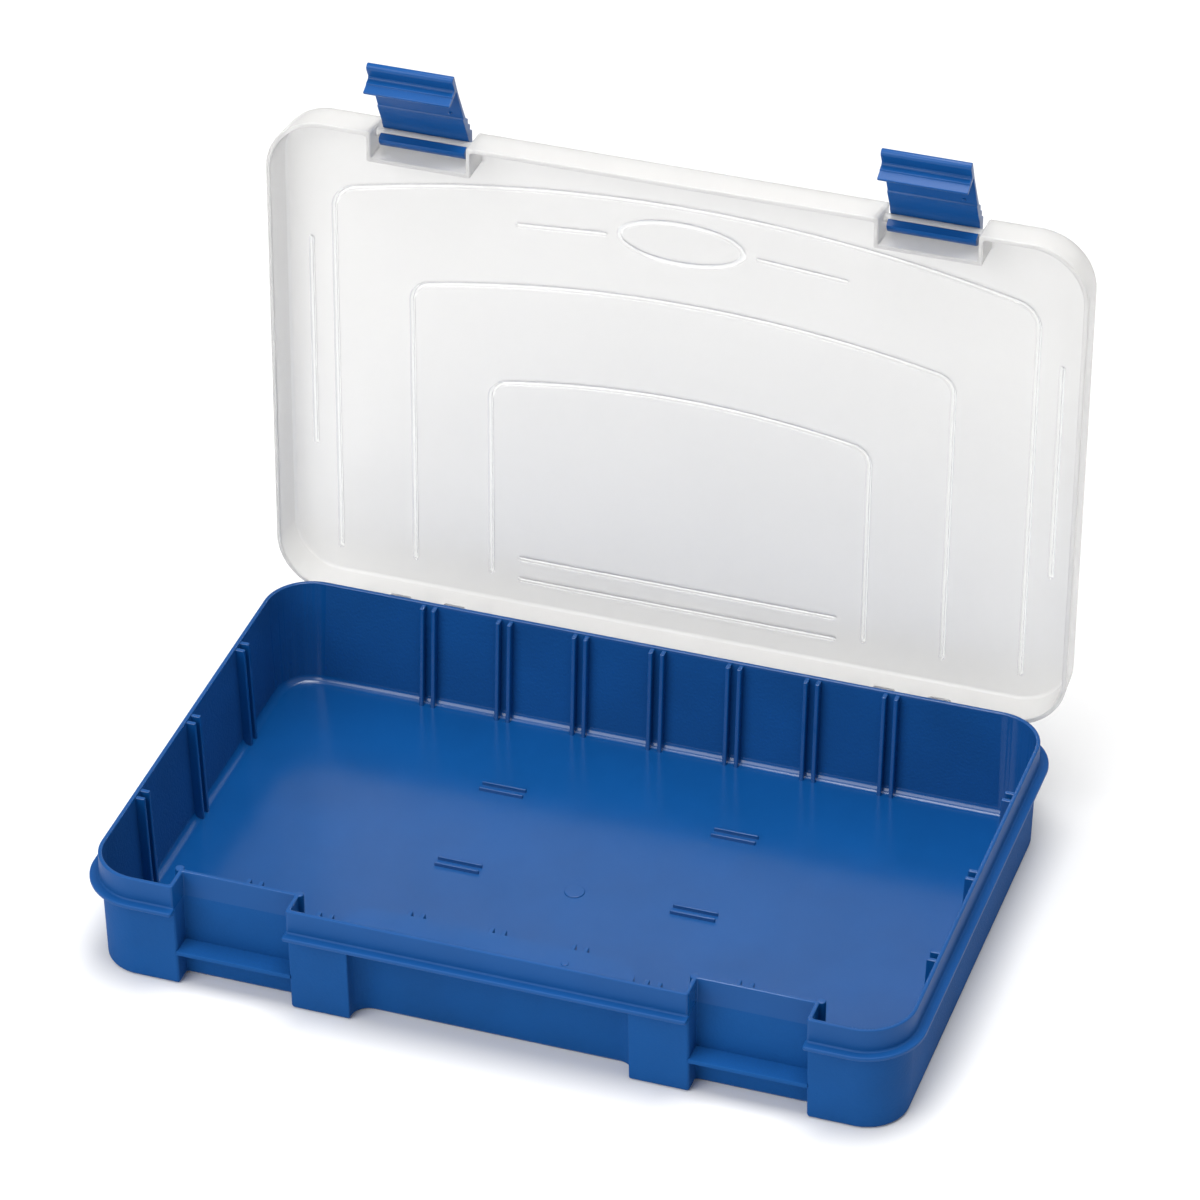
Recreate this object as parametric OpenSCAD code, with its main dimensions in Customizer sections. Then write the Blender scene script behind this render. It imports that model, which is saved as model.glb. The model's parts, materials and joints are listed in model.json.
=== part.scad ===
// Fishing tackle box: a compartment tray, a clear lid that is hinged along its rear edge,
// and two snap latches that clip onto pivot bars in the lid's front edge.
// Millimetres. The origin is the middle of the tray's underside, +Z is up and the hinge is at +Y.
// It is drawn as it stands open: the lid rests on its stop and both latches are swung out.

/* [Tray] */
// Width of the tray's upright rim, outside
rim_w = 270; // [250:1:300]
// Depth of the tray's upright rim, outside
rim_d = 175.4; // [165:0.2:200]
// Height of the rim above the table
rim_h = 40.5; // [38:0.5:46]
// Corner radius of the rim, outside
rim_r = 16.5; // [12:0.5:20]
// Thickness of the tray's walls
tray_wall = 1.4; // [1.2:0.1:1.6]
// Thickness of the tray's floor
floor_t = 1.5; // [1.2:0.1:2]
// How far the ledge under the lid stands out from the rim
ledge_out = 3.1; // [2.8:0.1:3.4]
// Height of the ledge's upper face
ledge_z = 32.1; // [31:0.1:33]
// Thickness of the ledge
ledge_t = 1.4; // [1.2:0.1:2]

/* [Divider slots] */
// Slots across the front and rear walls
slots_x = 7; // [5:2:7]
// Distance between neighbouring slots
slot_pitch = 27; // [26:0.5:28]
// Distance of the outer slots in the side walls from the middle one
side_slot_y = 43.8; // [30:0.1:50]
// Width of a slot, between its two ribs
slot_gap = 2.6; // [2:0.1:3]
// Thickness of a slot rib
rib_t = 1.6; // [1.2:0.1:2]
// How far a slot rib stands out from its wall
rib_out = 3.2; // [2:0.1:4]

/* [Front wall] */
// Distance of each latch's middle from the middle of the box
latch_x = 85.3; // [80:0.1:88]
// Width of the notch that a latch hangs in
notch_w = 38; // [36:0.5:40]
// Depth of the notch
notch_d = 8.9; // [8:0.1:9.2]
// Height of the catch shelf's upper face
shelf_z = 14; // [13:0.1:15]
// Thickness of the catch shelf
shelf_t = 1.5; // [1.2:0.1:1.8]
// Half width of the recess between the latches
recess_half = 46.4; // [30:0.1:46.4]
// Depth of that recess, from the rim's front face
recess_d = 9.5; // [7:0.1:10]

/* [Lid] */
// How far the lid's skirt stands out from the rim
skirt_out = 3.2; // [3:0.1:3.6]
// Thickness of the lid's skirt
skirt_t = 1.6; // [1.2:0.1:2]
// Height of the lid, from the edge of its skirt to its top
lid_h = 13.95; // [12:0.05:16]
// Thickness of the lid's panel
panel_t = 1.4; // [1.2:0.1:2]
// Angle that the lid opens to
lid_open = 91; // [85:1:95]

/* [Hinge] */
// Distance of the hinge axis behind the rim's rear face
hinge_back = 3.9; // [3.9:0.1:4.2]
// Diameter of the hinge pins
hinge_pin_d = 3; // [2.4:0.1:3]
// Radial play between a pin or bar and the hook around it
play = 0.05; // [0.03:0.01:0.09]

/* [Latches] */
// Width of a latch
latch_w = 29.4; // [26:0.1:30]
// Angle that the latches are swung out to, from closed
latch_open = 64; // [20:1:100]
// Diameter of the latch's pivot bar
bar_d = 3; // [2.4:0.1:3]

/* [Hidden] */
$fn = 64;
BLUE = [0.09, 0.32, 0.66];
CLEAR = [0.88, 0.90, 0.91];
FAR = 60;                           // reach of a cut that only has to get outside
SIDES = [-1, 1];

body_z = ledge_z - ledge_t;         // top of the drafted body, under the ledge
rim_y = rim_d/2;
notch_y = notch_d - rim_y;          // outer face of a notch's rear wall
recess_y = recess_d - rim_y;        // outer face of the recess's rear wall
recess_r = 6.5;                     // its rounded inner corners
bridge_z = rim_h - 0.5;             // top of the bridge over the recess
shelf_y = 1.1 - rim_y;              // front edge of the catch shelves
body_side_in = [1.5, 0.7];          // how far the body's sides are inside the rim, at z 0 and body_z
body_front_in = [2.3, 0.9];         // the same for its front and rear
cavity_side_in = [2.9, tray_wall];  // the same for the cavity, at the floor and the rim
cavity_front_in = [3.7, tray_wall];
rib_top = rim_h - 0.6;

hinge_y = rim_y + hinge_back;
hinge_z = ledge_z + 0.3;
knuckle_x = 9.6;                    // distance of a bracket from its hinge's middle
hook_x = 2*knuckle_x;               // distance of the lid's outer hooks from it
bracket_w = 6;
bracket_r = 3;
hook_w = 4.4;
hook_r = 3.3;
stop_r = hinge_back - 0.15;         // reach of a hook's stop tab, just short of the rim's face

skirt_z = ledge_z + 0.25;           // edge of the lid's skirt, closed
lid_top = skirt_z + lid_h;
lid_half = [rim_w/2 + skirt_out, rim_y + skirt_out];
pocket_half = latch_w/2 + 1.6;      // half width of the lid's latch pocket
pocket_y = notch_y - 2.7;           // outer face of the pocket's rear wall
pocket_t = 1.5;                     // its walls
bar_y = -(rim_y - 0.2);
bar_z = rim_h - 0.8;

// ---------- outlines ----------

module rounded(half, r) {
    square([2*half[0] - 2*r, 2*half[1]], center=true);
    square([2*half[0], 2*half[1] - 2*r], center=true);
    for (sx = SIDES, sy = SIDES)
        translate([sx*(half[0] - r), sy*(half[1] - r)]) circle(r);
}

// the rim's outline, moved inwards by side at the left and right, and by front at the others
module plate(z, side, front, t=0.01) {
    translate([0, 0, z])
        linear_extrude(t)
            rounded([rim_w/2 - side, rim_y - front], rim_r - (side + front)/2);
}

// both latch notches, with their walls moved outwards by grow
module notches(grow, z0, z1) {
    for (s = SIDES)
        translate([s*latch_x, notch_y + grow - FAR/2, (z0 + z1)/2])
            cube([notch_w + 2*grow, FAR, z1 - z0], center=true);
}

// the recess between the latches, open to the front, with its walls moved outwards by grow
module recess_outline(grow) {
    r = recess_r + grow;
    half = recess_half + grow;
    back = recess_y + grow;
    translate([-(half - r), back - FAR]) square([2*(half - r), FAR]);
    translate([-half, back - r - FAR]) square([2*half, FAR]);
    for (s = SIDES) translate([s*(half - r), back - r]) circle(r);
}

// ---------- tray ----------

module tray_outside() {
    hull() {
        plate(0, body_side_in[0] + 1.2, body_front_in[0] + 1.2);
        plate(1.2, body_side_in[0], body_front_in[0]);
        plate(body_z, body_side_in[1], body_front_in[1]);
    }
    plate(body_z, -ledge_out, -ledge_out, ledge_t);
    plate(body_z, 0, 0, rim_h - body_z);
}

module tray_cavity() {
    difference() {
        hull() {
            plate(floor_t, cavity_side_in[0] + 2, cavity_front_in[0] + 2);
            plate(floor_t + 2, cavity_side_in[0], cavity_front_in[0]);
            plate(rim_h, cavity_side_in[1], cavity_front_in[1], 1);
        }
        notches(tray_wall, 0, rim_h + 2);
        linear_extrude(bridge_z) recess_outline(tray_wall);
    }
}

// the hollow under the bridge: open to the front below the ledge, closed by the rim above it
module recess_hollow() {
    translate([0, 0, -1]) linear_extrude(body_z + 1) recess_outline(0);
    intersection() {
        translate([0, 0, body_z - 1]) linear_extrude(bridge_z - tray_wall - body_z + 1) recess_outline(0);
        translate([-FAR, tray_wall - rim_y, 0]) cube([2*FAR, FAR, rim_h]);
    }
}

// a slot is a pair of ribs; tip and root are distances outwards, at the floor and at the top
module slot_ribs(tip, root) {
    for (s = SIDES)
        translate([s*(slot_gap + rib_t)/2 - rib_t/2, 0, 0])
            rotate([90, 0, 90])
                linear_extrude(rib_t)
                    polygon([[tip[0], floor_t - 0.5], [root[0], floor_t - 0.5],
                             [root[1], rib_top], [tip[1], rib_top]]);
}

module divider_slots() {
    ends = cavity_side_in;
    front = [rim_y - cavity_front_in[0], rim_y - cavity_front_in[1]];
    side = [rim_w/2 - ends[0], rim_w/2 - ends[1]];
    bite = 0.5;                     // how far a rib runs into its wall
    out = [1, 1];
    for (i = [0 : slots_x - 1]) {
        x = (i - (slots_x - 1)/2)*slot_pitch;
        translate([x, 0, 0]) slot_ribs(front - rib_out*out, front + bite*out);
        in_notch = abs(abs(x) - latch_x) < notch_w/2;
        wall_y = in_notch ? -notch_y - tray_wall
               : abs(x) < recess_half ? -recess_y - tray_wall : 0;
        depth = wall_y == 0 ? front : wall_y*out;
        translate([x, 0, 0]) mirror([0, 1, 0]) slot_ribs(depth - rib_out*out, depth + bite*out);
    }
    for (s = SIDES, row = [-1 : 1])
        translate([0, row*side_slot_y, 0])
            rotate([0, 0, s*90])
                slot_ribs(side - rib_out*out, side + bite*out);
}

// short double ribs on the floor that line up with the side walls' slots
module floor_ribs() {
    rib = [15.4, 0.9, 0.9];
    apart = 3.4;
    for (s = SIDES, row = [-1 : 1], k = SIDES)
        translate([s*1.5*slot_pitch, row*side_slot_y + k*apart/2, floor_t + rib[2]/2 - 0.1])
            cube([rib[0], rib[1], rib[2] + 0.2], center=true);
}

// round posts that stiffen the inner corners of the notches
module notch_posts() {
    for (s = SIDES, k = SIDES)
        translate([s*latch_x + k*(notch_w/2 + tray_wall), notch_y + tray_wall, 1])
            cylinder(d=3, h=rim_h - 1);
}

module catch_shelves() {
    for (s = SIDES)
        translate([s*latch_x - notch_w/2 - 0.5, shelf_y, shelf_z - shelf_t])
            cube([notch_w + 1, notch_y + 0.5 - shelf_y, shelf_t]);
}

// a bar along X, with its middle at x
module bar(x, d, w) {
    translate([x - w/2, 0, 0]) rotate([0, 90, 0]) cylinder(d=d, h=w);
}

module hinge_brackets() {
    drop = 12;                      // the gusset's reach down the rear wall
    for (s = SIDES, k = SIDES) {
        x = s*latch_x + k*knuckle_x;
        translate([0, hinge_y, hinge_z]) bar(x, 2*bracket_r, bracket_w);
        translate([x - bracket_w/2, 0, 0])
            rotate([90, 0, 90])
                linear_extrude(bracket_w)
                    polygon([[rim_y - 1.2, body_z - drop], [hinge_y + 2, hinge_z - 2.2],
                             [hinge_y, ledge_z], [rim_y - 1.2, ledge_z]]);
    }
}

module hinge_pins() {
    for (s = SIDES)
        translate([0, hinge_y, hinge_z])
            bar(s*latch_x, hinge_pin_d, 2*hook_x + hook_w + 1);
}

// gaps in the ledge for the lid's hooks
module hook_gaps() {
    for (s = SIDES, k = [-1 : 1])
        translate([s*latch_x + k*hook_x - hook_w/2 - 0.8, rim_y, body_z - 0.5])
            cube([hook_w + 1.6, FAR, ledge_t + 1]);
}

module tray() {
    color(BLUE) {
        difference() {
            tray_outside();
            tray_cavity();
            notches(0, -1, rim_h + 1);
            recess_hollow();
            hook_gaps();
        }
        divider_slots();
        floor_ribs();
        notch_posts();
        catch_shelves();
        hinge_brackets();
        hinge_pins();
    }
}

// ---------- lid, drawn closed ----------

module lid_plate(z, in, r, t=0.01) {
    translate([0, 0, z]) linear_extrude(t) rounded([lid_half[0] - in, lid_half[1] - in], r - in);
}

module lid_outside() {
    r = rim_r + skirt_out;
    hull() {
        lid_plate(skirt_z, 0, r);
        lid_plate(lid_top - 2, 0.8, r);
        lid_plate(lid_top - 0.01, 2.6, r);
    }
}

module lid_cavity() {
    r = rim_r + skirt_out;
    difference() {
        hull() {
            lid_plate(skirt_z - 1, skirt_t, r);
            lid_plate(lid_top - panel_t - 0.01, skirt_t + 0.8, r);
        }
        for (s = SIDES)
            translate([s*latch_x, pocket_y + pocket_t - FAR/2, lid_top])
                cube([2*(pocket_half + pocket_t), FAR, 2*FAR], center=true);
    }
}

module latch_pockets() {
    for (s = SIDES)
        translate([s*latch_x, pocket_y - FAR/2, lid_top])
            cube([2*pocket_half, FAR, 2*FAR], center=true);
}

// openings in the rear skirt for the tray's hinge brackets and for the pins between them
module hinge_gaps() {
    gap = bracket_w + 2;
    for (s = SIDES, k = SIDES)
        translate([s*latch_x + k*knuckle_x - gap/2, rim_y, skirt_z - 1])
            cube([gap, FAR, 6]);
    for (s = SIDES)
        translate([0, hinge_y, hinge_z])
            bar(s*latch_x, hinge_pin_d + 1.2, 2*hook_x + hook_w + 2);
}

// hooks that clip over the hinge pins, each with a gusset up the skirt and a stop tab
module hinge_hooks() {
    for (s = SIDES, k = [-1 : 1]) {
        x = s*latch_x + k*hook_x;
        translate([0, hinge_y, hinge_z]) {
            bar(x, 2*hook_r, hook_w);
            translate([x - hook_w/2, -0.8, -stop_r]) cube([hook_w, 1.6, stop_r]);
            translate([x - hook_w/2, 0, 0])
                rotate([90, 0, 90])
                    linear_extrude(hook_w)
                        polygon([[-1.6, 0], [hook_r, 0], [-0.9, 9], [-1.6, 9]]);
        }
    }
}

// the bores of the hooks, each with a slot that is narrower than the pin
module hook_bores() {
    for (s = SIDES, k = [-1 : 1]) {
        x = s*latch_x + k*hook_x;
        w = hook_w + 2;
        translate([0, hinge_y, hinge_z]) {
            bar(x, hinge_pin_d + 2*play, w);
            translate([x - w/2, 0, -hinge_pin_d*0.4]) cube([w, 2*hook_r, hinge_pin_d*0.8]);
        }
    }
}

module pivot_bars() {
    for (s = SIDES)
        translate([0, bar_y, bar_z]) bar(s*latch_x, bar_d, 2*pocket_half + pocket_t);
}

module lid_closed() {
    difference() {
        union() {
            difference() {
                lid_outside();
                lid_cavity();
                latch_pockets();
                hinge_gaps();
            }
            hinge_hooks();
        }
        hook_bores();
    }
    pivot_bars();
}

// swings what is drawn closed up to the open lid
module on_open_lid() {
    translate([0, hinge_y, hinge_z])
        rotate([-lid_open, 0, 0])
            translate([0, -hinge_y, -hinge_z])
                children();
}

module lid() {
    color(CLEAR) on_open_lid() lid_closed();
}

// ---------- latches ----------

// side view of a closed latch, with the pivot at the origin, the box at +X and +Y upwards
module latch_profile() {
    catch = -(bar_z - shelf_z + shelf_t) - 0.2;     // the catch face, just under the shelf
    difference() {
        union() {
            circle(4.2);
            polygon([[-4.2, 0.5], [-4.9, -3], [-4.9, -8.2], [-3.7, -10], [-3.3, -20], [-2.7, -30],
                     [-2.5, -34.6], [-1, -34.9], [-0.4, -32.6], [5, catch - 1.6], [5.2, catch],
                     [-0.2, catch], [-0.8, -19], [-1.2, -13], [-1.2, 0]]);
            translate([1.2, -4.5]) square([2.6, 4.5]);
        }
        circle(bar_d/2 + play);
        translate([-1.2, -8]) square([2.4, 8]);
    }
}

module latch(side) {
    color(BLUE)
        on_open_lid()
            translate([side*latch_x - latch_w/2, bar_y, bar_z])
                rotate([-latch_open, 0, 0])
                    rotate([90, 0, 90])
                        linear_extrude(latch_w)
                            latch_profile();
}

module latch_left() { latch(-1); }
module latch_right() { latch(1); }

tray();
lid();
latch_left();
latch_right();
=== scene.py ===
"""Looks of the fishing tackle box: a blue tray, a frosted clear lid and two blue snap latches.

Each piece is built in millimetres, closed, from outlines that are stacked into solids and then
joined and cut. The lid and latches are swung open by the angles that the frame's joints give.
"""
import json
import math

import bmesh
import bpy
from mathutils import Matrix, Vector
from mathutils.geometry import delaunay_2d_cdt


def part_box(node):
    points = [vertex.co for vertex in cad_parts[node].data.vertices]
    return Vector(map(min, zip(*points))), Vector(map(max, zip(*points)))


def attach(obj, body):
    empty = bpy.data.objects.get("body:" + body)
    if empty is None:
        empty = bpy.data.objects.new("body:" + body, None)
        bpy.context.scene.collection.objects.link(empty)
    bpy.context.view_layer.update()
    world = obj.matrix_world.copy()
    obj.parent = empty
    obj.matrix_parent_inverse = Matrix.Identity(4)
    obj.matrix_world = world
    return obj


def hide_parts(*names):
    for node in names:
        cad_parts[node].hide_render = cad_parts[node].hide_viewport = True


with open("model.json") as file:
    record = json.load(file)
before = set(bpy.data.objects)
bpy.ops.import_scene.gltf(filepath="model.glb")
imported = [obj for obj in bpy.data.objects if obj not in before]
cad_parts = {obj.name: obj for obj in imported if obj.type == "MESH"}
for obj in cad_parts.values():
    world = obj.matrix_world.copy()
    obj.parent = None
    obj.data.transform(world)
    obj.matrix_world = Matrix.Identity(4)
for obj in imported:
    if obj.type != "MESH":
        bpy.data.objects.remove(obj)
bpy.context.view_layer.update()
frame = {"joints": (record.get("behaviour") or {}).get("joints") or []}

MM = 0.001
SIDES = (-1, 1)

# ---------- places that the frame gives, in millimetres ----------

joints = {joint["name"]: joint for joint in frame["joints"]}
tray_low, tray_high = (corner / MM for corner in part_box("tray"))
lid_joint = joints["lid_hinge"]
latch_joint = joints["latch_right_pivot"]
HINGE = Vector(lid_joint["pos_m"]) / MM
LID_OPEN = math.radians(lid_joint["range_deg"][1])
LATCH_OPEN = math.radians(latch_joint["range_deg"][1])
LATCH_X = latch_joint["pos_m"][0] / MM


def about(point, angle):
    """The turn by angle about the X axis through point."""
    there = Matrix.Translation(point)
    return there @ Matrix.Rotation(angle, 4, "X") @ there.inverted()


OPEN_LID = about(HINGE, -LID_OPEN)
bar_open = Vector((0, latch_joint["pos_m"][1], latch_joint["pos_m"][2])) / MM
BAR = OPEN_LID.inverted() @ bar_open

# ---------- sizes, in millimetres ----------

RIM_Z = tray_high.z
LEDGE_HALF = tray_high.x
LEDGE_OUT = 3.1
RIM_HALF = (LEDGE_HALF - LEDGE_OUT, -tray_low.y - LEDGE_OUT)
RIM_R = 16.5
WALL = 1.4
FLOOR_Z = 1.5
LEDGE_Z = (30.7, 32.1)

NOTCH_HALF = 19
NOTCH_X = (LATCH_X - NOTCH_HALF, LATCH_X + NOTCH_HALF)
NOTCH_Y = 8.9 - RIM_HALF[1]
RECESS_X = 46.4
RECESS_Y = 9.5 - RIM_HALF[1]
RECESS_R = (5.3, 7.1)
BRIDGE_Z = RIM_Z - 0.5
SHELF_Z = (12.3, 13.9)
SHELF_Y = 1.5 - RIM_HALF[1]

SLOTS = 7
SLOT_PITCH = 27
SIDE_SLOT_Y = 43.8
SLOT_GAP = 2.6
RIB_T = 1.5
RIB_OUT = 3.0
RIB_TOP = RIM_Z - 0.6

LID_HALF = (RIM_HALF[0] + 3.2, RIM_HALF[1] + 3.2)
LID_R = RIM_R + 3.2
SKIRT_Z = LEDGE_Z[1] + 0.25
SKIRT_T = 1.6
LID_TOP = SKIRT_Z + 13.95
PANEL_T = 1.4
POCKET_HALF = 16.3
POCKET_X = (LATCH_X - POCKET_HALF, LATCH_X + POCKET_HALF)
POCKET_Y = NOTCH_Y - 2.7
POCKET_T = 1.5

LATCH_W = 29.4
PIN_R = 1.5
KNUCKLE = 9.6
BRACKET_W = 6
HOOK_W = 4.4
HOOK_R = 3.3


# ---------- outlines and solids ----------


def mix(low, high, share):
    return low + (high - low) * share


def outline(corners, inset=0.0):
    """Points of a closed outline, anticlockwise, moved inwards by inset.
    Each corner is x, y, its radius and the number of steps around it."""
    places = [Vector(corner[:2]) for corner in corners]
    count = len(places)
    lines = []
    for i in range(count):
        along = (places[(i + 1) % count] - places[i]).normalized()
        lines.append((places[i] + Vector((-along.y, along.x)) * inset, along))
    points = []
    for i, (_x, _y, radius, steps) in enumerate(corners):
        (before, in_dir), (after, out_dir) = lines[i - 1], lines[i]
        cross = in_dir.cross(out_dir)
        apex = before + in_dir * ((after - before).cross(out_dir) / cross)
        turn = 1 if cross > 0 else -1
        radius = max(radius - turn * inset, 0.02)
        angle = math.acos(max(-1.0, min(1.0, in_dir.dot(out_dir))))
        start = apex - in_dir * (radius * math.tan(angle / 2))
        centre = start + Vector((-in_dir.y, in_dir.x)) * (turn * radius)
        spoke = start - centre
        for k in range(steps + 1):
            points.append(centre + Matrix.Rotation(turn * angle * k / steps, 2) @ spoke)
    return points


def both_sides(right):
    """An outline's corners: the right half from front to rear, then its mirror image."""
    return right + [(-x, y, radius, steps) for x, y, radius, steps in reversed(right)]


def circle(radius, steps=32, x=0.0, y=0.0):
    turn = 2 * math.pi / steps
    return [Vector((x + radius * math.cos(k * turn), y + radius * math.sin(k * turn))) for k in range(steps)]


def bottom_round(z, radius, steps=4):
    """(inset, height) pairs around the lower edge of a solid."""
    turns = [math.pi / 2 * (1 - k / steps) for k in range(steps + 1)]
    return [(radius * (1 - math.cos(a)), z + radius * (1 - math.sin(a))) for a in turns]


def top_round(z, radius, steps=4):
    """(inset, height) pairs around the upper edge of a solid."""
    return [(inset, 2 * z - height) for inset, height in reversed(bottom_round(z, radius, steps))]


def solid(name, points, faces):
    mesh = bpy.data.meshes.new(name)
    mesh.from_pydata([tuple(p) for p in points], [], faces)
    mesh.validate()
    thing = bpy.data.objects.new(name, mesh)
    bpy.context.scene.collection.objects.link(thing)
    return thing


def within(point, ring):
    crossings = 0
    for a, b in zip(ring, ring[1:] + ring[:1]):
        if (a.y > point.y) != (b.y > point.y):
            crossings += point.x < a.x + (b.x - a.x) * (point.y - a.y) / (b.y - a.y)
    return crossings % 2 == 1


def paving(ring, kerb, size=8.0):
    """A cover of small triangles over ring, with a grid of extra points inside kerb."""
    low = [min(p[axis] for p in kerb) for axis in (0, 1)]
    high = [max(p[axis] for p in kerb) for axis in (0, 1)]
    steps = [math.ceil((high[axis] - low[axis]) / size) for axis in (0, 1)]
    points = list(ring)
    for i in range(1, steps[0]):
        for j in range(1, steps[1]):
            shift = (i % 2) / 2
            p = Vector((mix(low[0], high[0], i / steps[0]), mix(low[1], high[1], (j - shift) / steps[1])))
            if within(p, kerb):
                points.append(p)
    return [(p.x, p.y, 0) for p in points[len(ring):]], triangles_over(points, len(ring), [])


def triangles_over(points, border, edges):
    """Triangles over points, the first of which go around the border, that keep to the edges."""
    _, _, triangles, sources, _, _ = delaunay_2d_cdt(points, edges, [list(range(border))], 1, 1e-6)
    return [[sources[k][0] for k in triangle] for triangle in triangles]


def relief(ring, lines):
    """A cover over ring with raised lines; each is a list of chains of points, closed or not, with a rise."""
    points, rises, edges = list(ring), [0] * len(ring), []
    for chain, closed, rise in lines:
        start, count = len(points), len(chain)
        points += chain
        rises += [rise] * count
        edges += [(start + k, start + (k + 1) % count) for k in range(count if closed else count - 1)]
    extra = [(p.x, p.y, rise) for p, rise in zip(points, rises)][len(ring):]
    return extra, triangles_over(points, len(ring), edges)


def stack(name, rings, along="z", covers=(None, None)):
    """A closed solid through rings, each a list of points and a height. Along X, a point is (y, z).
    A cover closes its end with triangles; else the end is one face."""
    count = len(rings[0][0])
    points = []
    for ring, height in rings:
        for p in ring:
            points.append((p[0], p[1], height) if along == "z" else (height, p[0], p[1]))
    faces = []
    for level in range(len(rings) - 1):
        low = level * count
        for i in range(count):
            j = (i + 1) % count
            faces.append([low + i, low + j, low + count + j, low + count + i])
    top = len(points) - count
    for first, height, cover in ((0, rings[0][1], covers[0]), (top, rings[-1][1], covers[1])):
        start = len(points)
        extra, ends = cover or ([], [list(range(count))])
        points += [(x, y, height + rise) for x, y, rise in extra]
        for face in ends:
            face = [first + k if k < count else start + k - count for k in face]
            faces.append(face if first else face[::-1])
    return solid(name, points, faces)


def joined(things):
    """Several separate solids as one object."""
    points, faces = [], []
    for thing in things:
        start = len(points)
        points += [v.co.copy() for v in thing.data.vertices]
        faces += [[start + v for v in face.vertices] for face in thing.data.polygons]
        bpy.data.objects.remove(thing)
    return solid("joined", points, faces)


def combine(target, operation, *tools):
    """Unites target with the tools, or cuts them from it, one after the other."""
    for tool in tools:
        modifier = target.modifiers.new("combine", "BOOLEAN")
        modifier.operation = operation
        modifier.solver = "MANIFOLD"
        modifier.object = tool
        evaluated = target.evaluated_get(bpy.context.evaluated_depsgraph_get())
        mesh = bpy.data.meshes.new_from_object(evaluated)
        target.modifiers.clear()
        target.data = mesh
        bpy.data.objects.remove(tool)
    return target


def end_to_end(x, width, end_round):
    """(inset, place) pairs from end to end of a solid along X, with its middle at x."""
    ends = [(inset, x - width / 2 + rise) for inset, rise in bottom_round(0, end_round, 2)]
    return ends + [(inset, 2 * x - place) for inset, place in reversed(ends)]


def bar(x, width, radius, y, z, end_round=0.25, steps=32):
    """A round bar along X, with its middle at x."""
    ends = end_to_end(x, width, end_round)
    return stack("bar", [(circle(radius - inset, steps, y, z), place) for inset, place in ends], "x")


def stud(name, x, y, radius, low, high, edge_r, steps, edge_steps):
    """An upright round solid from low to high with a rounded upper edge."""
    levels = [(0, low)] + top_round(high, edge_r, edge_steps)
    return stack(name, [(circle(radius - inset, steps, x, y), z) for inset, z in levels])


def block(low, high, corner_r=0.3, edge_r=0.3):
    """A box with rounded corners and edges."""
    corners = [(low[0], low[1]), (high[0], low[1]), (high[0], high[1]), (low[0], high[1])]
    corners = [(x, y, corner_r, 3) for x, y in corners]
    levels = bottom_round(low[2], edge_r, 3) + top_round(high[2], edge_r, 3)
    return stack("block", [(outline(corners, inset), z) for inset, z in levels])


def side_cut(x, width, corners, end_round=0.25):
    """A slab along X with a side view of (y, z) corners."""
    ends = end_to_end(x, width, end_round)
    return stack("side", [(outline(corners, inset), place) for inset, place in ends], "x")


# ---------- tray ----------

BODY_SIDE = (1.5, 0.7)
BODY_FRONT = (2.4, 1.0)
BODY_R = (14.0, 15.6)
CAVITY_SIDE = (2.9, WALL)
CAVITY_FRONT = (3.7, WALL)
CAVITY_R = (12.8, RIM_R - WALL)


def notch_corners(front, edge_r=1.0, grow=0.0, y=NOTCH_Y):
    """The right latch notch in an outline whose front is at -front."""
    left, right = NOTCH_X[0] - grow, NOTCH_X[1] + grow
    return [
        (left, -front, edge_r, 3),
        (left, y + grow, 0.5, 2),
        (right, y + grow, 0.5, 2),
        (right, -front, edge_r, 3),
    ]


def body_ring(inset, z):
    share = z / LEDGE_Z[0]
    half_x = RIM_HALF[0] - mix(*BODY_SIDE, share)
    front = RIM_HALF[1] - mix(*BODY_FRONT, share)
    radius = mix(*BODY_R, share)
    right = [(RECESS_X, RECESS_Y, mix(*RECESS_R, share), 10), (RECESS_X, -front, 0.5, 3)]
    right += notch_corners(front)
    right += [(half_x, -front, radius, 20), (half_x, front, radius, 20)]
    return outline(both_sides(right), inset), z


def ledge_ring(inset, z):
    """The ledge is cut back behind the notches' edges, so that it only shows outside the rim."""
    front = RIM_HALF[1] + LEDGE_OUT
    poke = 0.35
    back = 0.3
    left, right_x = NOTCH_X
    rim = -RIM_HALF[1] + 0.6
    right = [
        (left + poke, -front, 0.9, 4),
        (left + poke, rim, 0.1, 1),
        (left - back, rim, 0.1, 1),
        (left - back, NOTCH_Y + back, 0.1, 1),
        (right_x + back, NOTCH_Y + back, 0.1, 1),
        (right_x + back, rim, 0.1, 1),
        (right_x - poke, rim, 0.1, 1),
        (right_x - poke, -front, 0.9, 4),
        (LEDGE_HALF, -front, RIM_R + LEDGE_OUT, 24),
        (LEDGE_HALF, front, RIM_R + LEDGE_OUT, 24),
    ]
    return outline(both_sides(right), inset), z


def rim_ring(inset, z, out=0.0):
    """The upright rim; out moves its outside, but not the notches."""
    front = RIM_HALF[1] + out
    right = notch_corners(front)
    right += [(RIM_HALF[0] + out, -front, RIM_R + out, 24), (RIM_HALF[0] + out, front, RIM_R + out, 24)]
    return outline(both_sides(right), inset), z


def cavity_ring(inset, z, with_recess=True):
    share = (z - FLOOR_Z) / (RIM_Z - FLOOR_Z)
    half_x = RIM_HALF[0] - mix(*CAVITY_SIDE, share)
    front = RIM_HALF[1] - mix(*CAVITY_FRONT, share)
    radius = mix(*CAVITY_R, share)
    right = []
    if with_recess:
        corner_r = mix(4.5, RECESS_R[1] + WALL, share)
        right += [(RECESS_X + WALL, RECESS_Y + WALL, corner_r, 10), (RECESS_X + WALL, -front, 0.6, 2)]
    right += notch_corners(front, 0.8, WALL)
    right += [(half_x, -front, radius, 24), (half_x, front, radius, 24)]
    return outline(both_sides(right), inset), z


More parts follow.
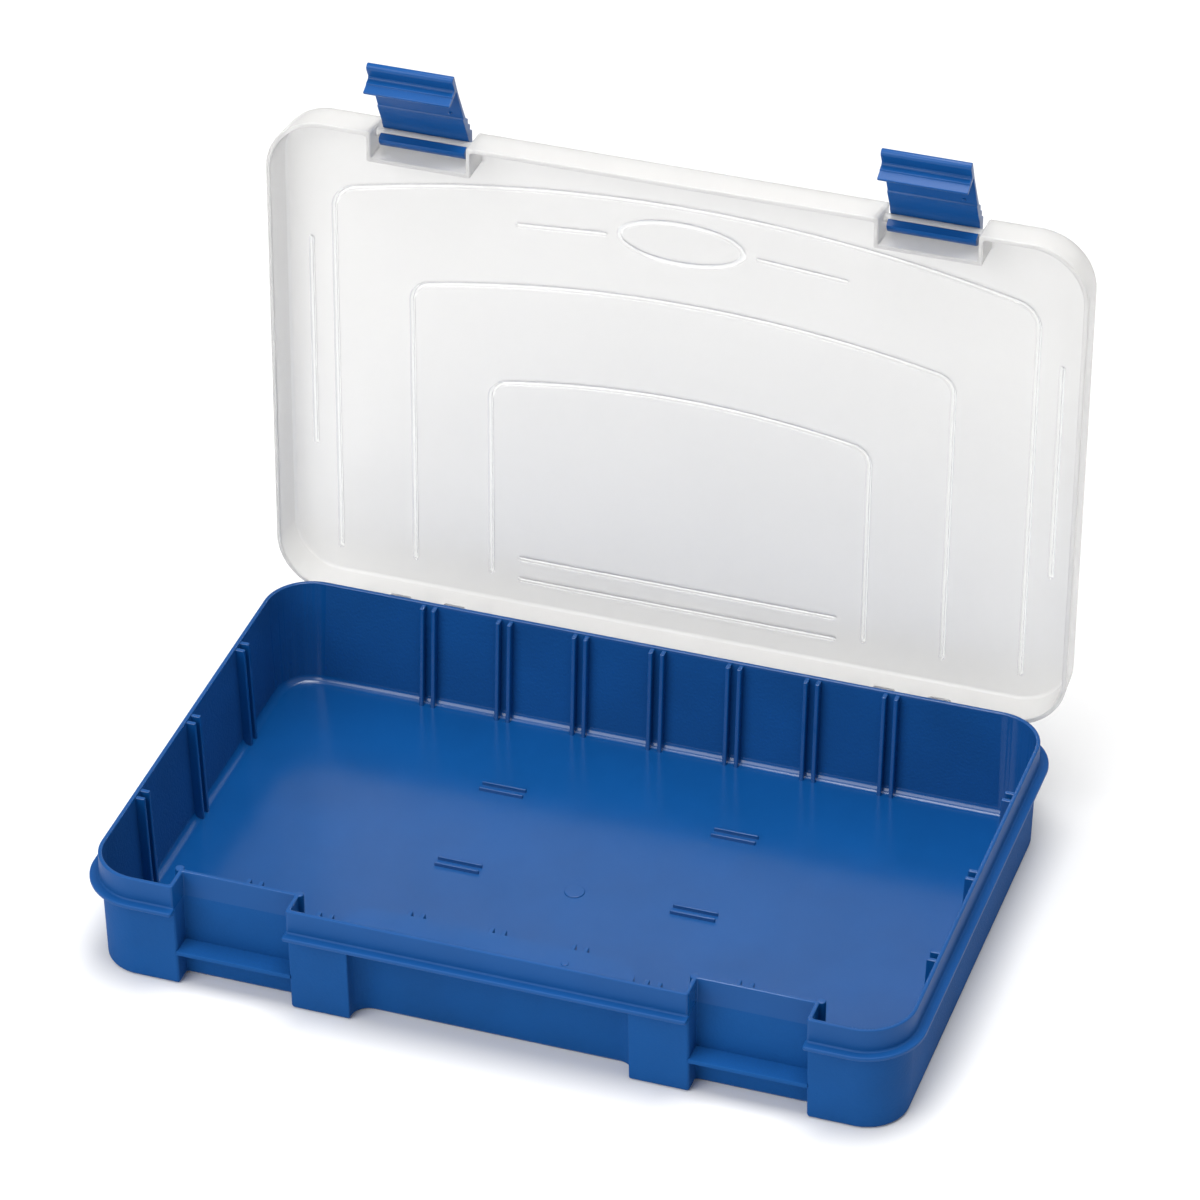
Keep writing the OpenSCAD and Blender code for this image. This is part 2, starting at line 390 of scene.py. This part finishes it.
def recess_ring(inset, z):
    """The hollow behind the rim's front, under the bridge."""
    front = RIM_HALF[1] - WALL
    right = [(RECESS_X, -front, 0.4, 2), (RECESS_X, RECESS_Y, RECESS_R[1], 10)]
    return outline(both_sides(right), inset), z


def tray_shell():
    overlap = 0.6
    fillet = 0.7
    levels = bottom_round(0, 1.6, 6) + [(0, LEDGE_Z[0] + overlap)]
    rings = [body_ring(inset, z) for inset, z in levels]
    body = stack("tray", rings, covers=(paving(rings[0][0], body_ring(4, 0)[0]), None))
    levels = bottom_round(LEDGE_Z[0], 0.4, 3) + top_round(LEDGE_Z[1], 0.5, 4)
    ledge = stack("ledge", [ledge_ring(inset, z) for inset, z in levels])
    foot = [rim_ring(0, LEDGE_Z[1] - overlap - 0.2, fillet)] + foot_curve(fillet)
    rim = stack("rim", foot + [rim_ring(inset, z) for inset, z in top_round(RIM_Z, 0.45)])
    combine(body, "UNION", ledge, rim)
    flare = [(-inset, z) for inset, z in top_round(RIM_Z, 0.45)]
    levels = bottom_round(FLOOR_Z, 2.6, 7) + flare + [(-0.45, RIM_Z + 2)]
    rings = [cavity_ring(inset, z) for inset, z in levels]
    cavity = stack("cavity", rings, covers=(paving(rings[0][0], cavity_ring(5, FLOOR_Z)[0]), None))
    levels = [(0, BRIDGE_Z), (0, RIM_Z - 0.45)] + flare[1:] + [(-0.45, RIM_Z + 2)]
    above = stack("above", [cavity_ring(inset, z, False) for inset, z in levels])
    hollow = stack("hollow", [recess_ring(0, LEDGE_Z[0] - 2), recess_ring(0, BRIDGE_Z - WALL)])
    return combine(body, "DIFFERENCE", cavity, above, hollow)


def foot_curve(fillet):
    """The concave curve from the ledge up to the rim."""
    rings = []
    steps = 5
    for k in range(steps + 1):
        a = math.pi / 2 * k / steps
        rings.append(rim_ring(0, LEDGE_Z[1] + fillet * (1 - math.cos(a)), fillet * (1 - math.sin(a))))
    return rings


def slot(place, tip, root):
    """A divider slot: two ribs. tip and root are distances outwards, at the floor and at the top."""
    ribs = []
    for side in SIDES:
        u = side * (SLOT_GAP + RIB_T) / 2
        rings = []
        for inset, z in [(0, FLOOR_Z - 0.5)] + top_round(RIB_TOP, 0.3, 3):
            share = (z - FLOOR_Z) / (RIB_TOP - FLOOR_Z)
            near, far = mix(*tip, share), mix(*root, share)
            corners = [
                (u - RIB_T / 2, near, 0.4, 3),
                (u + RIB_T / 2, near, 0.4, 3),
                (u + RIB_T / 2, far, 0.05, 1),
                (u - RIB_T / 2, far, 0.05, 1),
            ]
            rings.append((outline(corners, inset), z))
        rib = stack("rib", rings)
        rib.data.transform(place)
        ribs.append(rib)
    return ribs


def divider_slots():
    front = [RIM_HALF[1] - inset for inset in CAVITY_FRONT]
    side = [RIM_HALF[0] - inset for inset in CAVITY_SIDE]
    bite = 0.6
    ribs = []
    for i in range(SLOTS):
        x = (i - (SLOTS - 1) / 2) * SLOT_PITCH
        wall = front
        if NOTCH_X[0] < abs(x) < NOTCH_X[1]:
            wall = [-NOTCH_Y - WALL] * 2
        elif abs(x) < RECESS_X:
            wall = [-RECESS_Y - WALL] * 2
        for depth, turn in ((front, 0), (wall, math.pi)):
            place = Matrix.Translation((x, 0, 0)) @ Matrix.Rotation(turn, 4, "Z")
            ribs += slot(place, [d - RIB_OUT for d in depth], [d + bite for d in depth])
    for way in SIDES:
        for row in (-1, 0, 1):
            place = Matrix.Translation((0, row * SIDE_SLOT_Y, 0)) @ Matrix.Rotation(way * math.pi / 2, 4, "Z")
            ribs += slot(place, [d - RIB_OUT for d in side], [d + bite for d in side])
    return ribs


def floor_marks():
    """Short double ribs in line with the side slots, the moulding gate's round mark, and the bridge's nub."""
    marks = []
    length, apart, thick, high = 15.4, 3.4, 1.0, 1.3
    for side in SIDES:
        for row in (-1, 0, 1):
            for k in SIDES:
                x = side * 1.5 * SLOT_PITCH
                y = row * SIDE_SLOT_Y + k * apart / 2
                low = (x - length / 2, y - thick / 2, FLOOR_Z - 0.6)
                marks.append(block(low, (x + length / 2, y + thick / 2, FLOOR_Z + high)))
    marks.append(stud("gate", 0, -1, 3.4, FLOOR_Z - 0.5, FLOOR_Z + 0.4, 0.3, 40, 4))
    marks.append(stud("nub", 25.2, -84.3, 1.3, BRIDGE_Z - 0.5, BRIDGE_Z + 0.35, 0.3, 24, 3))
    return marks


def notch_parts():
    """Round posts at the notches' inner corners, and the shelves that the latches hook under."""
    parts = []
    for side in SIDES:
        for x, y in ((NOTCH_X[0] - 1.1, NOTCH_Y + 1.2), (NOTCH_X[1] + 1.6, NOTCH_Y + 1.8)):
            parts.append(stud("post", side * x, y, 1.5, FLOOR_Z - 0.5, RIM_Z - 0.05, 0.4, 24, 4))
        middle, reach = side * LATCH_X, NOTCH_HALF + 0.4
        low = (middle - reach, SHELF_Y, SHELF_Z[0])
        parts.append(block(low, (middle + reach, NOTCH_Y + 0.4, SHELF_Z[1]), 0.2, 0.35))
    return parts


def hinge_parts():
    """Brackets behind the ledge with the pins that the lid's hooks clip over."""
    parts = []
    rim = RIM_HALF[1]
    for side in SIDES:
        for k in SIDES:
            x = side * LATCH_X + k * KNUCKLE
            web = [
                (rim - 1.2, LEDGE_Z[0] - 12, 0.2, 1),
                (HINGE.y + 1.9, HINGE.z - 2.3, 0.6, 3),
                (HINGE.y, LEDGE_Z[1], 0.2, 1),
                (rim - 1.2, LEDGE_Z[1], 0.2, 1),
            ]
            parts.append(side_cut(x, BRACKET_W, web))
            parts.append(bar(x, BRACKET_W, 3.0, HINGE.y, HINGE.z))
        parts.append(bar(side * LATCH_X, 4 * KNUCKLE + HOOK_W + 1, PIN_R, HINGE.y, HINGE.z))
    return parts


def hook_gaps():
    """Gaps in the ledge for the lid's hooks."""
    gaps = []
    for side in SIDES:
        for k in (-1, 0, 1):
            x = side * LATCH_X + k * 2 * KNUCKLE
            low = (x - HOOK_W / 2 - 0.8, RIM_HALF[1] + 0.02, LEDGE_Z[0] - 1)
            gaps.append(block(low, (x + HOOK_W / 2 + 0.8, RIM_HALF[1] + 9, LEDGE_Z[1] + 2)))
    return gaps


def make_tray():
    tray = tray_shell()
    combine(tray, "DIFFERENCE", joined(hook_gaps()))
    combine(tray, "UNION", joined(divider_slots()), joined(floor_marks()))
    combine(tray, "UNION", *notch_parts())
    combine(tray, "UNION", *hinge_parts())
    return tray


# ---------- lid, closed ----------

LINE_W = 2.2
LINE_H = 0.9


def lid_corners(half_x, half_y, radius, pocket_grow=0.0):
    left, right_x = POCKET_X[0] - pocket_grow, POCKET_X[1] + pocket_grow
    back = POCKET_Y + pocket_grow
    right = [
        (left, -half_y, 0.8, 4),
        (left, back, 0.6, 3),
        (right_x, back, 0.6, 3),
        (right_x, -half_y, 0.8, 4),
        (half_x, -half_y, radius, 24),
        (half_x, half_y, radius, 24),
    ]
    return both_sides(right)


def lid_ring(inset, z, draft=0.7):
    """The outside; its walls lean inwards by draft towards the top, but the pockets stay upright."""
    lean = draft * (z - SKIRT_Z) / (LID_TOP - SKIRT_Z)
    corners = lid_corners(LID_HALF[0] - lean, LID_HALF[1] - lean, LID_R - lean)
    return outline(corners, inset), z


def lid_inner_ring(inset, z, draft=0.7):
    lean = SKIRT_T + draft * (z - SKIRT_Z) / (LID_TOP - SKIRT_Z)
    corners = lid_corners(LID_HALF[0] - lean, LID_HALF[1] - lean, LID_R - lean, POCKET_T)
    return outline(corners, inset), z


def lid_shell():
    levels = bottom_round(SKIRT_Z, 0.45, 3) + top_round(LID_TOP, 2.2, 7)
    rings = [lid_ring(inset, z) for inset, z in levels]
    lid = stack("lid", rings, covers=(None, relief(rings[-1][0], lid_lines())))
    ceiling = LID_TOP - PANEL_T
    mouth = [(-0.45, SKIRT_Z - 2)] + [(-inset, z) for inset, z in bottom_round(SKIRT_Z, 0.45, 3)]
    levels = mouth + top_round(ceiling, 1.2, 5)
    rings = [lid_inner_ring(inset, z) for inset, z in levels]
    cavity = stack("cavity", rings, covers=(None, relief(rings[-1][0], lid_lines())))
    return combine(lid, "DIFFERENCE", cavity)


def arc_points(centre, radius, start, end, steps):
    return [
        Vector((centre[0] + radius * math.cos(mix(start, end, k / steps)),
                centre[1] + radius * math.sin(mix(start, end, k / steps))))
        for k in range(steps + 1)
    ]


def arch(leg_x, leg_y, corner_r, top_y, top_r):
    """A raised line: two legs and a wide arc over them, with rounded corners."""
    centre_y = top_y + top_r
    inner = top_r - corner_r
    corner_x = leg_x - corner_r
    corner_y = centre_y - math.sqrt(inner ** 2 - corner_x ** 2)
    lean = math.atan2(corner_x, centre_y - corner_y)
    left = [Vector((-leg_x, leg_y))]
    left += arc_points((-corner_x, corner_y), corner_r, math.pi, 1.5 * math.pi - lean, 10)
    across = arc_points((0, centre_y), top_r, 1.5 * math.pi - lean, 1.5 * math.pi + lean, 40)
    right = [Vector((-p.x, p.y)) for p in reversed(left)]
    return left + across[1:-1] + right


def raised_line(path, closed=False, width=LINE_W, height=LINE_H):
    """Chains of points along path, from the line's foot to its crest."""
    count = len(path)
    normals = []
    for i in range(count):
        if closed:
            along = path[(i + 1) % count] - path[i - 1]
        else:
            along = path[min(i + 1, count - 1)] - path[max(i - 1, 0)]
        normals.append(Vector((-along.y, along.x)).normalized())
    chains = []
    for k in range(4):
        reach, rise = width / 2 * (1 - k / 4), height * (1 - math.cos(math.pi * k / 4)) / 2
        left = [p + normal * reach for p, normal in zip(path, normals)]
        right = [p - normal * reach for p, normal in zip(path, normals)]
        if closed:
            chains += [(left, True, rise), (right, True, rise)]
            continue
        turns = [Matrix.Rotation(-math.pi * j / 6, 2) for j in range(1, 6)]
        far = [path[-1] + turn @ normals[-1] * reach for turn in turns]
        near = [path[0] - turn @ normals[0] * reach for turn in turns]
        chains.append((left + far + right[::-1] + near, True, rise))
    chains.append((path, closed, height))
    return chains


def lid_lines():
    chains = []
    for leg_x, leg_y, corner_r, top_y, top_r in (
        (119.5, 79.0, 9, -74.8, 492),
        (92.6, 78.4, 7, -38.8, 431),
        (65.4, 78.0, 7, -2.7, 337.6),
    ):
        chains += raised_line(arch(leg_x, leg_y, corner_r, top_y, top_r))
    for side in SIDES:
        chains += raised_line([Vector((side * 127.8, -40)), Vector((side * 127.8, 39))])
        chains += raised_line([Vector((side * 26, -60.5)), Vector((side * 55.5, -58.3))])
    for y in (71.0, 79.4):
        chains += raised_line([Vector((-55, y)), Vector((55, y))])
    turn = 2 * math.pi / 64
    ellipse = [Vector((21 * math.cos(k * turn), -61.5 + 7.3 * math.sin(k * turn))) for k in range(64)]
    return chains + raised_line(ellipse, True, 2.0, 0.5)


def skirt_gaps():
    """Openings in the rear of the skirt for the tray's brackets and pins."""
    gaps = []
    gap = BRACKET_W + 1.6
    for side in SIDES:
        for k in SIDES:
            x = side * LATCH_X + k * KNUCKLE
            low = (x - gap / 2, RIM_HALF[1], SKIRT_Z - 2)
            gaps.append(block(low, (x + gap / 2, RIM_HALF[1] + 9, SKIRT_Z + 4.6), 0.2, 0.8))
        width = 4 * KNUCKLE + HOOK_W + 2
        gaps.append(bar(side * LATCH_X, width, PIN_R + 0.7, HINGE.y, HINGE.z))
    return gaps


def hooks():
    """Hooks around the hinge pins, with a gusset up the skirt and a tab that stops the lid."""
    parts, bores = [], []
    stop = HINGE.y - RIM_HALF[1] - 0.15
    for side in SIDES:
        for k in (-1, 0, 1):
            x = side * LATCH_X + k * 2 * KNUCKLE
            y, z = HINGE.y, HINGE.z
            gusset = [
                (y - 1.6, z, 0.1, 1),
                (y + HOOK_R, z, 0.1, 1),
                (y - 0.7, z + 9, 0.3, 2),
                (y - 1.6, z + 9, 0.1, 1),
            ]
            tab = [
                (y - 0.8, z - stop, 0.3, 2),
                (y + 0.8, z - stop, 0.3, 2),
                (y + 0.8, z, 0.1, 1),
                (y - 0.8, z, 0.1, 1),
            ]
            hook = bar(x, HOOK_W, HOOK_R, y, z)
            parts.append((hook, side_cut(x, HOOK_W, gusset), side_cut(x, HOOK_W, tab)))
            mouth = [
                (y, z - 1.2, 0.1, 1),
                (y + 2 * HOOK_R, z - 1.9, 0.1, 1),
                (y + 2 * HOOK_R, z + 1.9, 0.1, 1),
                (y, z + 1.2, 0.1, 1),
            ]
            bores.append((bar(x, HOOK_W + 2, PIN_R + 0.06, y, z), side_cut(x, HOOK_W + 2, mouth)))
    return parts, bores


def make_lid():
    lid = lid_shell()
    combine(lid, "DIFFERENCE", *skirt_gaps())
    parts, bores = hooks()
    for part in parts:
        combine(lid, "UNION", *part)
    for bore in bores:
        combine(lid, "DIFFERENCE", *bore)
    for side in SIDES:
        width = POCKET_X[1] - POCKET_X[0] + POCKET_T
        combine(lid, "UNION", bar(side * LATCH_X, width, PIN_R, BAR.y, BAR.z))
    lid.data.transform(OPEN_LID)
    return lid


# ---------- latches ----------


def latch_corners():
    """Side view of a closed latch: y and z from the pivot bar, y inwards, with radii and steps."""
    return [
        (-4.2, 0.9, 2.4, 8),
        (-5.4, -1.9, 0.6, 4),
        (-4.1, -3.7, 0.5, 3),
        (-5.0, -5.5, 0.6, 4),
        (-3.8, -7.4, 0.5, 3),
        (-4.5, -9.2, 0.6, 4),
        (-3.3, -11.2, 0.8, 4),
        (-3.0, -16, 3, 3),
        (-2.6, -26, 6, 3),
        (-2.8, -34.2, 0.6, 4),
        (-0.3, -35.2, 1.5, 7),
        (-0.6, -29.0, 1.0, 5),
        (2.0, -29.2, 0.25, 2),
        (2.3, -28.75, 0.15, 2),
        (5.4, -28.7, 0.4, 4),
        (5.3, -27.7, 0.25, 2),
        (-1.5, -27.6, 0.4, 2),
        (-1.5, -13.3, 0.25, 2),
        (-0.9, -12.9, 0.3, 3),
        (-1.19, -4.8, 0.3, 2),
    ]


def make_latch(name, side):
    """The arm with its catch, and the hook over the pivot bar."""
    x = side * LATCH_X
    arm = side_cut(0, LATCH_W, latch_corners() + [(-1.2, 0.6, 0.1, 1), (-1.2, 2.4, 0.1, 1)], 0.3)
    arm.name = name
    hub = bar(0, LATCH_W, 4.2, 0, 0, 0.3, 48)
    mouth = [
        (-1.21, -4.6, 0.1, 1),
        (5.4, -4.6, 0.1, 1),
        (5.4, -1.45, 0.1, 1),
        (1.25, -1.45, 0.1, 1),
        (1.25, 0, 0.1, 1),
        (-1.21, 0, 0.1, 1),
    ]
    lip = [
        (1.35, -1.6, 0.4, 3),
        (4.1, -1.4, 1.2, 7),
        (4.3, 0.3, 0.3, 2),
        (1.35, 0.3, 0.1, 1),
    ]
    combine(arm, "UNION", hub)
    combine(arm, "DIFFERENCE", side_cut(0, LATCH_W + 4, mouth, 0.1))
    combine(arm, "UNION", side_cut(0, LATCH_W, lip, 0.3))
    combine(arm, "DIFFERENCE", bar(0, LATCH_W + 4, PIN_R + 0.06, 0, 0, 0.1, 32))
    gate = stud("gate", 0, 0, 0.55, -0.5, 0.4, 0.35, 20, 4)
    gate.data.transform(Matrix.Translation((10.5, -1.4, -15.2)) @ Matrix.Rotation(-math.pi / 2, 4, "X"))
    combine(arm, "UNION", gate)
    swing = Matrix.Translation((x, BAR.y, BAR.z)) @ Matrix.Rotation(-LATCH_OPEN, 4, "X")
    arm.data.transform(OPEN_LID @ swing)
    return arm


# ---------- materials ----------


def plastic(name, colour, roughness, grain_scale, grain_depth, specular=0.5, mottling=0.06, ior=1.49):
    """Moulded plastic: a faint mottle in colour and gloss, and a fine grain."""
    material = bpy.data.materials.new(name)
    material.use_nodes = True
    nodes, links = material.node_tree.nodes, material.node_tree.links
    shader = nodes["Principled BSDF"]
    place = nodes.new("ShaderNodeTexCoord")
    mottle = nodes.new("ShaderNodeTexNoise")
    mottle.inputs["Scale"].default_value = 28
    mottle.inputs["Detail"].default_value = 4
    links.new(place.outputs["Object"], mottle.inputs["Vector"])
    tint = nodes.new("ShaderNodeValToRGB")
    tint.color_ramp.elements[0].position = 0.3
    tint.color_ramp.elements[1].position = 0.7
    tint.color_ramp.elements[0].color = [c * (1 - mottling) for c in colour] + [1]
    tint.color_ramp.elements[1].color = [c * (1 + mottling) for c in colour] + [1]
    links.new(mottle.outputs["Fac"], tint.inputs["Fac"])
    links.new(tint.outputs["Color"], shader.inputs["Base Color"])
    gloss = nodes.new("ShaderNodeMapRange")
    gloss.inputs["To Min"].default_value = roughness - 0.03
    gloss.inputs["To Max"].default_value = roughness + 0.04
    links.new(mottle.outputs["Fac"], gloss.inputs["Value"])
    links.new(gloss.outputs["Result"], shader.inputs["Roughness"])
    grain = nodes.new("ShaderNodeTexNoise")
    grain.inputs["Scale"].default_value = grain_scale
    grain.inputs["Detail"].default_value = 3
    links.new(place.outputs["Object"], grain.inputs["Vector"])
    bump = nodes.new("ShaderNodeBump")
    bump.inputs["Strength"].default_value = 1.0
    bump.inputs["Distance"].default_value = grain_depth
    links.new(grain.outputs["Fac"], bump.inputs["Height"])
    links.new(bump.outputs["Normal"], shader.inputs["Normal"])
    shader.inputs["IOR"].default_value = ior
    shader.inputs["Specular IOR Level"].default_value = specular
    return material


def clear_plastic(name, colour, roughness, clearness, ior=1.49):
    """Clear polypropylene, more or less frosted."""
    material = plastic(name, colour, roughness, 700, 0.000005, 0.5, 0.006, ior)
    shader = material.node_tree.nodes["Principled BSDF"]
    shader.inputs["Transmission Weight"].default_value = clearness
    return material


def convex(ring):
    return all((b - a).cross(c - b) >= 0 for a, b, c in zip(ring, ring[1:] + ring[:1], ring[2:] + ring[:2]))


def split_faces(mesh):
    """Cuts faces that are not simple quads into triangles that fill their outlines exactly."""
    work = bmesh.new()
    work.from_mesh(mesh)
    for face in [face for face in work.faces if len(face.verts) > 3]:
        corners = list(face.verts)
        turn = face.normal.rotation_difference(Vector((0, 0, 1))).to_matrix()
        flat = [(turn @ v.co).to_2d() for v in corners]
        if len(flat) == 4 and convex(flat):
            continue
        places, _, triangles, sources, _, _ = delaunay_2d_cdt(flat, [], [list(range(len(flat)))], 1, 1e-6)
        triangles = [[corners[sources[k][0]] for k in triangle if sources[k]] for triangle in triangles]
        sound = len(places) == len(flat) and len(triangles) == len(flat) - 2
        if sound and not any(work.faces.get(triangle) for triangle in triangles):
            work.faces.remove(face)
            for triangle in triangles:
                work.faces.new(triangle)
    work.to_mesh(mesh)
    work.free()


def breadth(mesh, face):
    """How wide a face is across its longest edge."""
    places = [mesh.vertices[v].co for v in face.vertices]
    longest = max((q - p).length for p, q in zip(places, places[1:] + places[:1]))
    return face.area * (2 if len(places) == 3 else 1) / max(longest, 1e-9)


def region_breadths(mesh):
    """For each face, the breadth of the broadest face in the flat region that it belongs to."""
    beside = {}
    for face in mesh.polygons:
        for key in face.edge_keys:
            beside.setdefault(key, []).append(face.index)
    result = [0.0] * len(mesh.polygons)
    for first in mesh.polygons:
        if result[first.index]:
            continue
        region, waiting = {first.index}, [first]
        while waiting:
            face = waiting.pop()
            for key in face.edge_keys:
                for k in beside[key]:
                    other = mesh.polygons[k]
                    if k not in region and other.normal.dot(first.normal) > 0.99999:
                        region.add(k)
                        waiting.append(other)
        broadest = max(breadth(mesh, mesh.polygons[k]) for k in region)
        for k in region:
            result[k] = max(broadest, 1e-6)
    return result


def smooth_normals(mesh, angle=38):
    """Sets normals that round the edges below angle, and that leave broad flat regions flat."""
    limit = math.cos(math.radians(angle))
    breadths = region_breadths(mesh)
    around = [[] for _ in mesh.vertices]
    for face in mesh.polygons:
        corners = list(face.vertices)
        normal, share = face.normal.copy(), breadths[face.index] ** 2
        for before, v, after in zip(corners[-1:] + corners[:-1], corners, corners[1:] + corners[:1]):
            here = mesh.vertices[v].co
            corner = (mesh.vertices[before].co - here).angle(mesh.vertices[after].co - here, 0)
            around[v].append((normal, corner * share))
    normals = []
    for face in mesh.polygons:
        own = face.normal
        for v in face.vertices:
            total = own * 1e-9
            for normal, weight in around[v]:
                if normal.dot(own) > limit:
                    total = total + normal * weight
            normals.append(total.normalized() if total.length > 0 else Vector((0, 0, 1)))
    mesh.normals_split_custom_set(normals)


def finish_mesh(piece, materials, choose=None):
    """Metres, smooth shading that keeps flat faces flat, and materials."""
    mesh = piece.data
    split_faces(mesh)
    mesh.materials.clear()
    for material in materials:
        mesh.materials.append(material)
    for face in mesh.polygons:
        face.use_smooth = True
        face.material_index = choose(face) if choose else 0
    smooth_normals(mesh)
    mesh.transform(Matrix.Scale(MM, 4))


def tray_surface(face):
    """0 for the tray's inside, 1 for its outside above the grain, and 2 for its grained outer walls."""
    x, y, z = face.center
    half_x, half_y = RIM_HALF
    near = 0.1
    corner = math.hypot(abs(x) - half_x + RIM_R, abs(y) - half_y + RIM_R)
    in_corner = abs(x) > half_x - RIM_R and abs(y) > half_y - RIM_R
    if z > LEDGE_Z[0] - 0.01:
        skin = 0.7
        outside = abs(x) > half_x - skin or abs(y) > half_y - skin
        beyond = corner > RIM_R - skin if in_corner else outside
        return 1 if beyond or (face.normal.y < -0.7 and y < RECESS_Y + near) else 0
    outside = abs(x) > half_x - 2.4 or y > half_y - 3 or z < 0.01
    beyond = corner > RIM_R - 2.3 if in_corner else outside
    in_notch = NOTCH_X[0] - near < abs(x) < NOTCH_X[1] + near
    in_front = y < NOTCH_Y + near and (in_notch or y < 3 - half_y)
    in_recess = abs(x) < RECESS_X + near and y < RECESS_Y + near
    return 2 if beyond or in_front or in_recess else 0


def lid_surface(face):
    """0 for the lid's frosted faces, and 1 for its raised lines on both faces, which get a glossier copy of
    the plastic whose whiter, clearer tint paints in the lines' highlights.
    """
    closed = OPEN_LID.inverted()
    z = (closed @ face.center).z
    nz = (closed.to_3x3() @ face.normal).z
    return 1 if z > LID_TOP + 0.02 or (z > LID_TOP - PANEL_T + 0.02 and nz < -0.2) else 0


BLUE = (0.0035, 0.069, 0.25)
LATCH_BLUE = (0.0035, 0.071, 0.26)
blue_inside = plastic("blue_inside", BLUE, 0.19, 900, 0.00001, 0.6)
blue_outside = plastic("blue_outside", BLUE, 0.5, 900, 0.00001, 0.5, ior=1.3)
blue_grain = plastic("blue_grained", BLUE, 0.75, 1100, 0.00015, 0.5, 0.1, ior=1.25)
blue_latch = plastic("blue_latch", LATCH_BLUE, 0.28, 900, 0.00001, 0.5, ior=1.34)
frosted = clear_plastic("clear_frosted", (0.92, 0.913, 0.9), 0.24, 0.58, 1.38)
# The raised lines' plastic: glossier than the panel, and its whiter, clearer tint is a painted highlight
# along the lines.
polished_painted_highlight = clear_plastic("clear_polished", (0.99, 0.99, 0.985), 0.1, 0.75)

tray = make_tray()
tray.name = "tray_shell"
finish_mesh(tray, [blue_inside, blue_outside, blue_grain], tray_surface)
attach(tray, "tray")
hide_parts("tray")

lid = make_lid()
lid.name = "lid_shell"
finish_mesh(lid, [frosted, polished_painted_highlight], lid_surface)
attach(lid, "lid")
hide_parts("lid")

for body, side in (("latch_left", -1), ("latch_right", 1)):
    latch = make_latch(body + "_moulding", side)
    finish_mesh(latch, [blue_latch])
    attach(latch, body)
    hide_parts(body)

# ---------- floor, light and camera ----------

AZIMUTH = math.radians(18.567)
ELEVATION = math.radians(34.466)
DISTANCE = 2.0295
TARGET = Vector((-0.0463, 0.1628, 0))
LENS = 174.1


def add_floor(half=6):
    corners = [(-half, -half, 0), (half, -half, 0), (half, half, 0), (-half, half, 0)]
    floor = solid("floor", corners, [[0, 1, 2, 3]])
    material = bpy.data.materials.new("pale_floor")
    material.use_nodes = True
    shader = material.node_tree.nodes["Principled BSDF"]
    shader.inputs["Base Color"].default_value = (0.88, 0.88, 0.88, 1)
    shader.inputs["Roughness"].default_value = 0.9
    shader.inputs["Specular IOR Level"].default_value = 0.1
    floor.data.materials.append(material)


def add_light(name, place, size, watts, aim=(0, 0.02, 0.05)):
    lamp = bpy.data.lights.new(name, "AREA")
    lamp.shape = "RECTANGLE"
    lamp.size, lamp.size_y = size
    lamp.energy = watts
    holder = bpy.data.objects.new(name, lamp)
    holder.location = place
    holder.rotation_euler = (Vector(aim) - Vector(place)).to_track_quat("-Z", "Y").to_euler()
    bpy.context.scene.collection.objects.link(holder)


def add_world(strength):
    world = bpy.data.worlds.new("studio")
    world.use_nodes = True
    background = world.node_tree.nodes["Background"]
    background.inputs["Color"].default_value = (1, 1, 1, 1)
    background.inputs["Strength"].default_value = strength
    bpy.context.scene.world = world


def add_camera():
    back = Vector((
        math.sin(AZIMUTH) * math.cos(ELEVATION),
        -math.cos(AZIMUTH) * math.cos(ELEVATION),
        math.sin(ELEVATION),
    ))
    lens = bpy.data.cameras.new("camera")
    lens.lens = LENS
    lens.sensor_width = 36
    camera = bpy.data.objects.new("camera", lens)
    camera.location = TARGET + back * DISTANCE
    camera.rotation_euler = (-back).to_track_quat("-Z", "Y").to_euler()
    bpy.context.scene.collection.objects.link(camera)
    bpy.context.scene.camera = camera


add_floor()
add_light("overhead", (0.1, 0.0, 1.8), (1.2, 1.0), 30)
add_light("front", (-0.9, -1.6, 1.3), (1.8, 1.5), 29)
add_world(0.41)
add_camera()
bpy.context.scene.view_settings.view_transform = "Standard"
